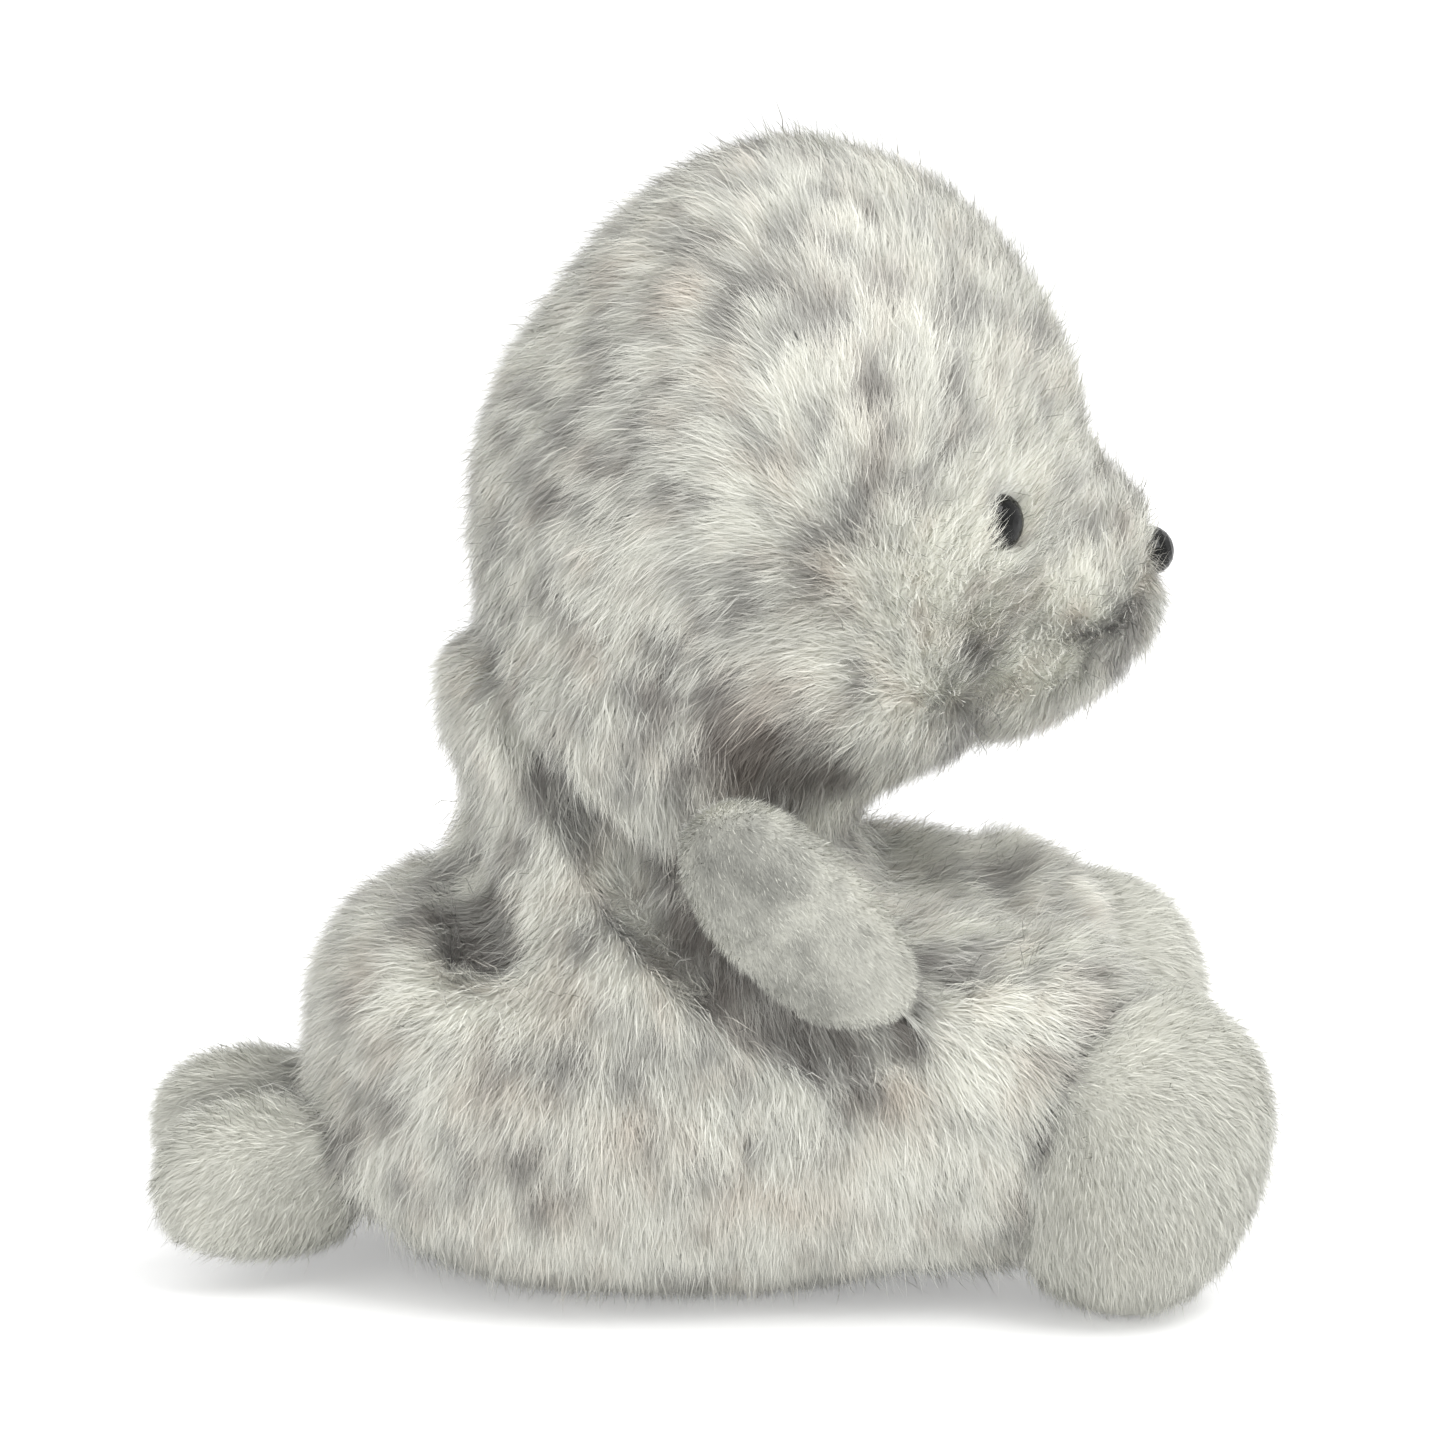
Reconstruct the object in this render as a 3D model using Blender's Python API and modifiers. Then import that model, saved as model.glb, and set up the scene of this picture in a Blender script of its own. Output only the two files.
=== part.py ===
# Plush seal that sits on a flat seat: a stuffed head on a bag-shaped body with two thighs, a pair of
# front flippers, a pair of hind feet, a tail of two lobes, and button eyes and nose on lock washers.
#
# Metres, +Z up. The seal faces -Y, its right side is -X, and it is the same on both sides of X = 0.
# The outer face of each stuffed piece is where its pile ends.

import math

import bmesh
import bpy
from mathutils import Matrix, Vector
from mathutils.bvhtree import BVHTree

MM = 0.001

# Seat: the widest part of the body, filled with pellets, so it sags to a flat base
SEAT_WIDTH = 72.5 * MM
SEAT_LENGTH = 88 * MM
SEAT_HEIGHT = 48 * MM
SEAT_FLAT = 2.5 * MM
SEAT_BACK = 2.3 * MM
SEAT_FULLNESS = (2.4, 2.4)

# Roll at the upper back of the seat
REAR_WIDTH = 60 * MM
REAR_LENGTH = 38 * MM
REAR_HEIGHT = 36 * MM
REAR_BACK = 24.7 * MM
REAR_RISE = 7.5 * MM

# Torso above the seat
TORSO_WIDTH = 52 * MM
TORSO_LENGTH = 48.5 * MM
TORSO_HEIGHT = 56 * MM
TORSO_BACK = 4.6 * MM
WAIST_SINK = 23 * MM

# Roll of fur fabric behind the neck
NAPE_WIDTH = 48 * MM
NAPE_LENGTH = 37 * MM
NAPE_HEIGHT = 30 * MM
NAPE_BACK = 8.1 * MM
NAPE_RISE = 15.5 * MM

# Flanks, which fill the corner between the torso and the seat
FLANK_WIDTH = 34 * MM
FLANK_LENGTH = 46 * MM
FLANK_HEIGHT = 36 * MM
FLANK_SPREAD = 38 * MM
FLANK_FORWARD = 2.3 * MM
FLANK_RISE = 15 * MM

# Thighs, which run forward from the seat to the feet
THIGH_WIDTH = 34 * MM
THIGH_LENGTH = 60.5 * MM
THIGH_HEIGHT = 43 * MM
THIGH_SPREAD = 42 * MM
THIGH_FORWARD = 23.4 * MM
THIGH_CLEARANCE = 3.2 * MM
THIGH_FULLNESS = (2.0, 3.0)

# Head
HEAD_WIDTH = 74 * MM
HEAD_LENGTH = 67 * MM
HEAD_HEIGHT = 74 * MM
HEAD_FORWARD = 10.8 * MM
HEAD_FULLNESS = (1.89, 1.89)
NECK_SINK = 23 * MM

# Cheeks, low on the head
CHEEK_WIDTH = 68 * MM
CHEEK_LENGTH = 54 * MM
CHEEK_HEIGHT = 35 * MM
CHEEK_DROP = 20.5 * MM

# Back of the neck, which hangs over the torso
NECK_WIDTH = 61 * MM
NECK_LENGTH = 48 * MM
NECK_HEIGHT = 38 * MM
NECK_BACK = 14.5 * MM
NECK_DROP = 28 * MM
NECK_TILT = math.radians(45)
NECK_FULLNESS = (2.3, 2.5)

# Back of the head, which is fuller than the face
OCCIPUT_WIDTH = 56 * MM
OCCIPUT_LENGTH = 44 * MM
OCCIPUT_HEIGHT = 60 * MM
OCCIPUT_BACK = 16 * MM
OCCIPUT_DROP = 6.5 * MM

# Muzzle and chin
MUZZLE_WIDTH = 32 * MM
MUZZLE_LENGTH = 34 * MM
MUZZLE_HEIGHT = 32 * MM
MUZZLE_REACH = 26.2 * MM
MUZZLE_DROP = 14.2 * MM
CHIN_WIDTH = 24 * MM
CHIN_LENGTH = 24 * MM
CHIN_HEIGHT = 16 * MM
CHIN_SETBACK = 4 * MM
CHIN_DROP = 11.3 * MM

# Front flippers
FLIPPER_LENGTH = 37 * MM
FLIPPER_WIDTH = 17.6 * MM
FLIPPER_THICKNESS = 13 * MM
FLIPPER_SPREAD = 68 * MM
FLIPPER_FORWARD = 8.3 * MM
FLIPPER_RISE = 25.7 * MM
FLIPPER_SLOPE = math.radians(51)
FLIPPER_SPLAY = math.radians(14)
FLIPPER_FULLNESS = (2.4, 2.4)

# Hind feet
FOOT_WIDTH = 32 * MM
FOOT_LENGTH = 31 * MM
FOOT_HEIGHT = 38.5 * MM
FOOT_SPREAD = 53 * MM
FOOT_OVERLAP = 20.8 * MM
FOOT_TOE_OUT = math.radians(30)
FOOT_LEAN = math.radians(15)
FOOT_SINK = 0.6 * MM
FOOT_FULLNESS = (2.1, 2.4)

# Tail lobes
TAIL_WIDTH = 18 * MM
TAIL_LENGTH = 28 * MM
TAIL_HEIGHT = 19.8 * MM
TAIL_SPREAD = 20 * MM
TAIL_OVERLAP = 10.5 * MM
TAIL_CLEARANCE = 3 * MM
TAIL_TURN = math.radians(14)
TAIL_FULLNESS = (2.3, 2.3)

# Button eyes
EYE_DIAMETER = 6.4 * MM
EYE_DOME = 2.2 * MM
EYE_DEPTH = 3 * MM
EYE_BEARING = math.radians(48)
EYE_FACING = math.radians(38)
EYE_TILT = math.radians(3)
EYE_DROP = 2.9 * MM

# Button nose, a little wider than it is high
NOSE_WIDTH = 6.6 * MM
NOSE_HEIGHT = 5.6 * MM
NOSE_DOME = 2.6 * MM
NOSE_DEPTH = 1.9 * MM
NOSE_TILT = math.radians(12)

# Shank and lock washer of each button
RIM_THICKNESS = 0.5 * MM
SHANK_DIAMETER = 2.4 * MM
SHANK_LENGTH = 9 * MM
WASHER_DIAMETER = 8 * MM
WASHER_THICKNESS = 1.2 * MM
WASHER_SETBACK = 4.5 * MM

# Free space between pieces that lie on each other
SEAM_GAP = 0.3 * MM

# Mesh fineness
HEAD_VOXEL = 3 * MM
BODY_VOXEL = 3 * MM
SMOOTH_PASSES = 5
FACES_KEPT = 0.35
BLOB_SEGMENTS = 32
BLOB_RINGS = 16
LIMB_SEGMENTS = 20
LIMB_RINGS = 12
TURN_STEPS = 20
DOME_POINTS = 5
MERGE_DISTANCE = 0.01 * MM
SHARP_ANGLE = math.radians(40)

# Colours in linear light
PILE_COLOUR = (0.62, 0.62, 0.59, 1.0)
PLAIN_COLOUR = (0.50, 0.50, 0.48, 1.0)
BUTTON_COLOUR = (0.008, 0.008, 0.009, 1.0)
WASHER_COLOUR = (0.75, 0.75, 0.75, 1.0)

# Heights and places that follow from the sizes above
SEAT_Z = SEAT_HEIGHT / 2 - SEAT_FLAT
TORSO_Z = SEAT_Z + SEAT_HEIGHT / 2 - WAIST_SINK + TORSO_HEIGHT / 2
HEAD_Z = TORSO_Z + TORSO_HEIGHT / 2 - NECK_SINK + HEAD_HEIGHT / 2
THIGH_Z = THIGH_CLEARANCE + THIGH_HEIGHT / 2
THIGH_Y = SEAT_BACK - THIGH_FORWARD
MUZZLE_Y = -HEAD_FORWARD - MUZZLE_REACH
MUZZLE_Z = HEAD_Z - MUZZLE_DROP
FOOT_Y = THIGH_Y - THIGH_LENGTH / 2 - FOOT_LENGTH / 2 + FOOT_OVERLAP
TAIL_Y = SEAT_BACK + SEAT_LENGTH / 2 + TAIL_LENGTH / 2 - TAIL_OVERLAP
SIDES = (("right", -1), ("left", 1))


def makeMaterial(name, colour, roughness):
    material = bpy.data.materials.new(name)
    material.use_nodes = True
    shader = material.node_tree.nodes["Principled BSDF"]
    shader.inputs["Base Color"].default_value = colour
    shader.inputs["Roughness"].default_value = roughness
    shader.inputs["Metallic"].default_value = 0.0
    return material


def makeCollection(name):
    collection = bpy.data.collections.new(name)
    bpy.context.scene.collection.children.link(collection)
    return collection


def addObject(name, mesh, collection, material=None):
    piece = bpy.data.objects.new(name, mesh)
    collection.objects.link(piece)
    if material:
        mesh.materials.append(material)
    return piece


def addCutter(name, mesh, collection):
    cutter = addObject(name, mesh, collection)
    cutter.hide_render = True
    cutter.display_type = "WIRE"
    return cutter


def addBlob(shape, centre, size, fullness=(2.0, 2.0), tilt=0.0, segments=BLOB_SEGMENTS, rings=BLOB_RINGS):
    # Fullness is of the section across Y, then toward the ends along Y: 2 is round, and more is nearer
    # to a box with round corners. Tilt lifts the end at +Y
    made = bmesh.ops.create_uvsphere(shape, u_segments=segments, v_segments=rings, radius=1.0)
    turn = Matrix.Rotation(tilt, 4, "X")
    place = Matrix.Translation(centre) @ turn @ Matrix.Diagonal((*(Vector(size) / 2), 1.0))
    across, along = fullness
    for vertex in made["verts"]:
        x, y, z = (abs(part) for part in vertex.co)
        reach = ((x ** across + z ** across) ** (along / across) + y ** along) ** (1 / along)
        vertex.co = place @ (vertex.co / reach)


def meshFrom(name, shape):
    mesh = bpy.data.meshes.new(name)
    bmesh.ops.recalc_face_normals(shape, faces=shape.faces)
    shape.to_mesh(mesh)
    shape.free()
    mesh.shade_smooth()
    return mesh


def evaluatedMesh(piece):
    bpy.context.view_layer.update()
    graph = bpy.context.evaluated_depsgraph_get()
    return bpy.data.meshes.new_from_object(piece.evaluated_get(graph))


def blendBlobs(name, shape, voxel, collection, material):
    # Joins the blobs into one skin and softens the lines where they meet, as stuffing does
    piece = addObject(name, meshFrom(name, shape), collection, material)
    remesh = piece.modifiers.new("Skin", "REMESH")
    remesh.mode = "VOXEL"
    remesh.voxel_size = voxel
    smooth = piece.modifiers.new("Soften", "SMOOTH")
    smooth.iterations = SMOOTH_PASSES
    thin = piece.modifiers.new("Thin", "DECIMATE")
    thin.ratio = FACES_KEPT
    thin.use_symmetry = True
    thin.symmetry_axis = "X"
    blended = evaluatedMesh(piece)
    piece.modifiers.clear()
    piece.data = blended
    piece.data.shade_smooth()
    return piece


def grownCopy(piece, collection):
    # The same form, larger all round by the seam gap, to cut a neighbour clear of it
    cutter = addCutter(piece.name + "_space", evaluatedMesh(piece), collection)
    cutter.matrix_world = piece.matrix_world
    grow = cutter.modifiers.new("Grow", "DISPLACE")
    grow.mid_level = 0.0
    grow.strength = SEAM_GAP
    return cutter


def cut(piece, cutter):
    boolean = piece.modifiers.new("Cut for " + cutter.name, "BOOLEAN")
    boolean.operation = "DIFFERENCE"
    boolean.object = cutter


def placePart(name, mesh, matrix, collection, material):
    piece = addObject(name, mesh, collection, material)
    piece.matrix_world = matrix
    return piece


def makeBody(parts, pile):
    shape = bmesh.new()
    seat = Vector((0, SEAT_BACK, SEAT_Z))
    addBlob(shape, seat, (SEAT_WIDTH, SEAT_LENGTH, SEAT_HEIGHT), SEAT_FULLNESS)
    addBlob(shape, seat + Vector((0, REAR_BACK, REAR_RISE)), (REAR_WIDTH, REAR_LENGTH, REAR_HEIGHT))
    torso = Vector((0, TORSO_BACK, TORSO_Z))
    addBlob(shape, torso, (TORSO_WIDTH, TORSO_LENGTH, TORSO_HEIGHT))
    addBlob(shape, torso + Vector((0, NAPE_BACK, NAPE_RISE)), (NAPE_WIDTH, NAPE_LENGTH, NAPE_HEIGHT))
    for _, side in SIDES:
        flank = seat + Vector((side * FLANK_SPREAD / 2, -FLANK_FORWARD, FLANK_RISE))
        addBlob(shape, flank, (FLANK_WIDTH, FLANK_LENGTH, FLANK_HEIGHT))
        thigh = (side * THIGH_SPREAD / 2, THIGH_Y, THIGH_Z)
        addBlob(shape, thigh, (THIGH_WIDTH, THIGH_LENGTH, THIGH_HEIGHT), THIGH_FULLNESS)
    return blendBlobs("body", shape, BODY_VOXEL, parts, pile)


def makeHead(parts, pile):
    shape = bmesh.new()
    head = Vector((0, -HEAD_FORWARD, HEAD_Z))
    addBlob(shape, head, (HEAD_WIDTH, HEAD_LENGTH, HEAD_HEIGHT), HEAD_FULLNESS)
    addBlob(shape, head - Vector((0, 0, CHEEK_DROP)), (CHEEK_WIDTH, CHEEK_LENGTH, CHEEK_HEIGHT))
    neck = head + Vector((0, NECK_BACK, -NECK_DROP))
    addBlob(shape, neck, (NECK_WIDTH, NECK_LENGTH, NECK_HEIGHT), NECK_FULLNESS, NECK_TILT)
    back = head + Vector((0, OCCIPUT_BACK, -OCCIPUT_DROP))
    addBlob(shape, back, (OCCIPUT_WIDTH, OCCIPUT_LENGTH, OCCIPUT_HEIGHT))
    muzzle = Vector((0, MUZZLE_Y, MUZZLE_Z))
    addBlob(shape, muzzle, (MUZZLE_WIDTH, MUZZLE_LENGTH, MUZZLE_HEIGHT))
    addBlob(shape, muzzle + Vector((0, CHIN_SETBACK, -CHIN_DROP)), (CHIN_WIDTH, CHIN_LENGTH, CHIN_HEIGHT))
    return blendBlobs("head", shape, HEAD_VOXEL, parts, pile)


def limbMesh(name, size, fullness):
    shape = bmesh.new()
    addBlob(shape, (0, 0, 0), size, fullness, segments=LIMB_SEGMENTS, rings=LIMB_RINGS)
    return meshFrom(name, shape)


def makeFlipper(name, side, parts, plain):
    # Its long side is the local Y axis, which slopes down to the front and outward
    slope = Matrix.Rotation(FLIPPER_SLOPE, 4, "X")
    splay = Matrix.Rotation(side * FLIPPER_SPLAY, 4, "Y")
    centre = (side * FLIPPER_SPREAD / 2, -FLIPPER_FORWARD, SEAT_Z + FLIPPER_RISE)
    mesh = limbMesh(name, (FLIPPER_THICKNESS, FLIPPER_LENGTH, FLIPPER_WIDTH), FLIPPER_FULLNESS)
    return placePart(name, mesh, Matrix.Translation(centre) @ splay @ slope, parts, plain)


def makeFoot(name, side, parts, plain):
    toeOut = Matrix.Rotation(side * FOOT_TOE_OUT, 4, "Z")
    lean = Matrix.Rotation(FOOT_LEAN, 4, "X")
    mesh = limbMesh(name, (FOOT_WIDTH, FOOT_LENGTH, FOOT_HEIGHT), FOOT_FULLNESS)
    lowest = min((lean @ vertex.co).z for vertex in mesh.vertices)
    centre = (side * FOOT_SPREAD / 2, FOOT_Y, -lowest - FOOT_SINK)
    return placePart(name, mesh, Matrix.Translation(centre) @ toeOut @ lean, parts, plain)


def makeTailLobe(name, side, parts, plain):
    turn = Matrix.Rotation(-side * TAIL_TURN, 4, "Z")
    centre = (side * TAIL_SPREAD / 2, TAIL_Y, TAIL_CLEARANCE + TAIL_HEIGHT / 2)
    mesh = limbMesh(name, (TAIL_WIDTH, TAIL_LENGTH, TAIL_HEIGHT), TAIL_FULLNESS)
    return placePart(name, mesh, Matrix.Translation(centre) @ turn, parts, plain)


def turnedMesh(name, profile, stretch=1.0):
    # Profile points are (radius, height), listed down the outer side, with both ends on the axis
    shape = bmesh.new()
    corners = [shape.verts.new((radius, 0, height)) for radius, height in profile]
    for upper, lower in zip(corners, corners[1:]):
        shape.edges.new((upper, lower))
    line = bpy.data.meshes.new(name + "_profile")
    shape.to_mesh(line)
    shape.free()
    lathe = bpy.data.objects.new(name + "_lathe", line)
    bpy.context.scene.collection.objects.link(lathe)
    screw = lathe.modifiers.new("Turn", "SCREW")
    screw.steps = TURN_STEPS
    screw.render_steps = TURN_STEPS
    screw.use_merge_vertices = True
    screw.merge_threshold = MERGE_DISTANCE
    mesh = evaluatedMesh(lathe)
    bpy.data.objects.remove(lathe)
    mesh.transform(Matrix.Diagonal((stretch, 1.0, 1.0, 1.0)))
    mesh.shade_smooth()
    mesh.set_sharp_from_angle(angle=SHARP_ANGLE)
    return mesh


def domeProfile(radius, height, below):
    # Quarter ellipse from the top of the dome to its rim, then down the rim's edge
    arc = [math.pi / 2 * step / DOME_POINTS for step in range(DOME_POINTS + 1)]
    points = [(radius * math.sin(turn), height * math.cos(turn)) for turn in arc]
    return points + [(radius, -below)]


def buttonMesh(name, diameter, dome, stretch=1.0):
    shank = SHANK_DIAMETER / 2
    profile = domeProfile(diameter / 2, dome, RIM_THICKNESS)
    profile += [(shank, -RIM_THICKNESS), (shank, -SHANK_LENGTH), (0.0, -SHANK_LENGTH)]
    return turnedMesh(name, profile, stretch)


def buttonSpaceMesh(name, diameter, depth, stretch=1.0):
    # Well that the button sits in, bore for its shank, and chamber for the washer
    well = diameter / 2 + SEAM_GAP
    bore = SHANK_DIAMETER / 2 + SEAM_GAP
    chamber = WASHER_DIAMETER / 2 + SEAM_GAP
    wellFloor = -RIM_THICKNESS - SEAM_GAP
    roof = -WASHER_SETBACK + SEAM_GAP
    floor = -SHANK_LENGTH - SEAM_GAP
    ledge = -WASHER_SETBACK - WASHER_THICKNESS - SEAM_GAP
    top = depth + diameter
    profile = [(0.0, top), (well, top), (well, wellFloor), (bore, wellFloor), (bore, roof)]
    profile += [(chamber, roof), (chamber, ledge), (bore, ledge), (bore, floor), (0.0, floor)]
    return turnedMesh(name, profile, stretch)


def washerMesh(name, stretch):
    hole = SHANK_DIAMETER / 2 + SEAM_GAP
    rim = WASHER_DIAMETER / 2
    top = -WASHER_SETBACK
    bottom = top - WASHER_THICKNESS
    ring = [(hole, top), (rim, top), (rim, bottom), (hole, bottom), (hole, top)]
    return turnedMesh(name, ring, stretch)


def surfacePoint(tree, start, direction):
    # Where a line from inside a piece leaves it: the last face that the line meets
    spot = start
    found = None
    while True:
        point, _, _, _ = tree.ray_cast(spot, direction)
        if point is None:
            return found
        found = point
        spot = point + direction * SEAM_GAP


def heading(side, bearing, tilt):
    # Level angle from straight ahead toward one side, then the angle above level
    level = math.cos(tilt)
    return Vector((side * math.sin(bearing) * level, -math.cos(bearing) * level, math.sin(tilt)))


def buttonMatrix(tree, start, direction, outward, depth):
    # Seated where the direction leaves the head, with local +Z outward and local X level
    level = Vector((0, 0, 1)).cross(outward).normalized()
    upward = outward.cross(level)
    centre = surfacePoint(tree, start, direction) - outward * depth
    turn = Matrix((level, upward, outward)).transposed().to_4x4()
    return Matrix.Translation(centre) @ turn


def makeButton(kind, ending, matrix, sizes, head, parts, cutters, black, white):
    # One button with its washer, and the well for both in the head
    diameter, dome, depth, stretch = sizes
    name = kind + ending
    washer = kind + "_washer" + ending
    placePart(name, buttonMesh(name, diameter, dome, stretch), matrix, parts, black)
    placePart(washer, washerMesh(washer, stretch), matrix, parts, white)
    well = addCutter(name + "_well", buttonSpaceMesh(name + "_well", diameter, depth, stretch), cutters)
    well.matrix_world = matrix
    cut(head, well)


def makeFace(head, parts, cutters, black, white):
    tree = BVHTree.FromObject(head, bpy.context.evaluated_depsgraph_get())
    eyeStart = Vector((0, -HEAD_FORWARD, HEAD_Z - EYE_DROP))
    eyeSizes = (EYE_DIAMETER, EYE_DOME, EYE_DEPTH, 1.0)
    for label, side in SIDES:
        bearing = heading(side, EYE_BEARING, 0)
        matrix = buttonMatrix(tree, eyeStart, bearing, heading(side, EYE_FACING, EYE_TILT), EYE_DEPTH)
        makeButton("eye", "_" + label, matrix, eyeSizes, head, parts, cutters, black, white)
    outward = heading(0, 0, NOSE_TILT)
    matrix = buttonMatrix(tree, Vector((0, MUZZLE_Y, MUZZLE_Z)), outward, outward, NOSE_DEPTH)
    noseSizes = (NOSE_HEIGHT, NOSE_DOME, NOSE_DEPTH, NOSE_WIDTH / NOSE_HEIGHT)
    makeButton("nose", "", matrix, noseSizes, head, parts, cutters, black, white)


def addFloorCutter(cutters):
    # Everything below the floor, to give the seat and the feet their flat undersides
    shape = bmesh.new()
    span = 2 * (SEAT_LENGTH + THIGH_LENGTH + FOOT_LENGTH + TAIL_LENGTH)
    bmesh.ops.create_cube(shape, size=span, matrix=Matrix.Translation((0, 0, -span / 2)))
    return addCutter("floor_space", meshFrom("floor_space", shape), cutters)


def centreOnOrigin(parts, cutters):
    # Puts the middle of the whole seal over the origin, with its lowest face at Z = 0
    graph = bpy.context.evaluated_depsgraph_get()
    corners = []
    for piece in parts.objects:
        shown = piece.evaluated_get(graph)
        corners += [shown.matrix_world @ vertex.co for vertex in shown.data.vertices]
    middle = [(min(c[axis] for c in corners) + max(c[axis] for c in corners)) / 2 for axis in (0, 1)]
    root = bpy.data.objects.new("seal", None)
    bpy.context.scene.collection.objects.link(root)
    for piece in list(parts.objects) + list(cutters.objects):
        piece.parent = root
    root.location = (-middle[0], -middle[1], -min(c.z for c in corners))


def main():
    for existing in list(bpy.data.objects):
        bpy.data.objects.remove(existing)
    parts = makeCollection("plush_seal")
    cutters = makeCollection("cutters")
    pile = makeMaterial("mottled_long_pile", PILE_COLOUR, 0.9)
    plain = makeMaterial("plain_short_pile", PLAIN_COLOUR, 0.9)
    black = makeMaterial("black_gloss_plastic", BUTTON_COLOUR, 0.12)
    white = makeMaterial("white_plastic", WASHER_COLOUR, 0.5)

    floor = addFloorCutter(cutters)
    head = makeHead(parts, pile)
    body = makeBody(parts, pile)
    headSpace = grownCopy(head, cutters)
    makeFace(head, parts, cutters, black, white)
    for label, side in SIDES:
        flipper = makeFlipper("flipper_" + label, side, parts, plain)
        cut(flipper, headSpace)
        foot = makeFoot("foot_" + label, side, parts, plain)
        cut(foot, floor)
        lobe = makeTailLobe("tail_lobe_" + label, side, parts, plain)
        for neighbour in (flipper, foot, lobe):
            cut(body, grownCopy(neighbour, cutters))
    cut(body, headSpace)
    cut(body, floor)
    centreOnOrigin(parts, cutters)


main()
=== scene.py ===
# Plush seal: skins, long and short pile, and buttons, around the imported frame
import math
import time

import bmesh
import bpy
import numpy as np
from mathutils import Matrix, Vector
from mathutils.bvhtree import BVHTree
from mathutils.kdtree import KDTree


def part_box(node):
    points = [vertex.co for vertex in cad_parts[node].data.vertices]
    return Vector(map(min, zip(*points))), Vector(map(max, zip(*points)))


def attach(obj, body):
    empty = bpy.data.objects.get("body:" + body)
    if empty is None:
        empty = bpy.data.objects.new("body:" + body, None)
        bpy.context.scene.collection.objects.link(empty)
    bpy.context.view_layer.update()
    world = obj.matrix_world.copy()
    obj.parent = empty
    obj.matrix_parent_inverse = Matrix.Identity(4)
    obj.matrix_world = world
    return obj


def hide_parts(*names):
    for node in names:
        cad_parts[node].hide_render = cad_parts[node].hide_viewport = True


started = time.time()
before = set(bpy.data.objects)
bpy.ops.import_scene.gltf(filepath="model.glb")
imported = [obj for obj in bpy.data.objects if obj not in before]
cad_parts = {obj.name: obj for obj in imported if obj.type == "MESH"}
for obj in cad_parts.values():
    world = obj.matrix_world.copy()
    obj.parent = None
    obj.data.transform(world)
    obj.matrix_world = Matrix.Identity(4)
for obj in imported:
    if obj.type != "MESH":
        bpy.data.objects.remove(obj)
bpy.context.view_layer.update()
mm = 0.001
dice = np.random.default_rng(20)
mirror = np.array((-1, 1, 1))


def report(*words):
    print(*words, "at", round(time.time() - started, 1), "s")


def linear(hexColour):
    # sRGB hex to the linear colour that the shaders take
    parts = [int(hexColour[k:k + 2], 16) / 255 for k in (1, 3, 5)]
    return tuple(c / 12.92 if c <= 0.04045 else ((c + 0.055) / 1.055) ** 2.4 for c in parts) + (1.0,)


def unit(rows):
    return rows / np.maximum(np.linalg.norm(rows, axis=-1, keepdims=True), 1e-12)


def fade(span, value):
    # From 0 to 1 while the value goes over the span, in mm
    low, high = span
    t = np.clip((value - low * mm) / (high * mm - low * mm), 0, 1)
    return t * t * (3 - 2 * t)


def addNode(tree, kind, settings=None, inputs=None, links=None):
    # links: input name or number -> (node, output name or number)
    node = tree.nodes.new(kind)
    for key, value in (settings or {}).items():
        setattr(node, key, value)
    for key, value in (inputs or {}).items():
        node.inputs[key].default_value = value
    for key, (source, output) in (links or {}).items():
        tree.links.new(source.outputs[output], node.inputs[key])
    return node


def newMaterial(name):
    material = bpy.data.materials.new(name)
    material.use_nodes = True
    material.node_tree.nodes.clear()
    return material, material.node_tree


def linked(thing):
    bpy.context.scene.collection.objects.link(thing)
    return thing


# The camera stands at the photo's angle: the seal's right side, a little from above
view = {
    "azimuth": -94.3,  # degrees
    "elevation": 13,
    "aim": (0, -2.8 * mm, 62.1 * mm),
    "distance": 0.8,
    "lens": 176,
    "sensor": 36,
    "frame": 1445,  # pixels
}
azimuth, elevation = math.radians(view["azimuth"]), math.radians(view["elevation"])
away = Vector((math.sin(azimuth) * math.cos(elevation), -math.cos(azimuth) * math.cos(elevation),
               math.sin(elevation)))
cameraData = bpy.data.cameras.new("camera")
cameraData.lens = view["lens"]
cameraData.sensor_width = view["sensor"]
camera = linked(bpy.data.objects.new("camera", cameraData))
camera.location = Vector(view["aim"]) + away * view["distance"]
camera.rotation_euler = (-away).to_track_quat("-Z", "Y").to_euler()
bpy.context.scene.camera = camera
bpy.context.view_layer.update()
turn = camera.matrix_world.to_3x3()
screenRight, screenUp = turn @ Vector((1, 0, 0)), turn @ Vector((0, 1, 0))


def sightLine(px, py):
    # The camera's ray through a pixel
    scale = view["sensor"] / view["lens"] / view["frame"]
    across, down = px - view["frame"] / 2, py - view["frame"] / 2
    ray = -away + screenRight * (across * scale) - screenUp * (down * scale)
    return camera.location, ray.normalized()


# Kinds of fur fabric. Lengths are in mm and densities are fibres a square mm
longPile = {
    "length": 5.0,
    "sink": 2.9,  # the fabric lies this far under the tips
    "lift": 58,  # degrees of a guard fibre at its root
    "lay": 20,  # and at its tip
    "lean": 36,  # of the straight fibres under them
    "guard": 1.9,
    "guardWidth": 0.085,
    "under": 16.5,
    "underWidth": 0.1,
    "tuft": 2.2,
    "glint": 0.3,  # spread of the guard fibres' shades
}
footPile = {
    "length": 2.9,
    "sink": 1.6,
    "lift": 62,
    "lay": 24,
    "lean": 38,
    "guard": 2.4,
    "guardWidth": 0.085,
    "under": 15,
    "underWidth": 0.1,
    "tuft": 1.6,
    "glint": 0.3,
}
flipperPile = {
    "length": 1.2,
    "sink": 0.75,
    "lift": 65,
    "lay": 40,
    "lean": 50,
    "guard": 3.6,
    "guardWidth": 0.08,
    "under": 22,
    "underWidth": 0.1,
    "tuft": 1.4,
    "glint": 0.3,
}
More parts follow.
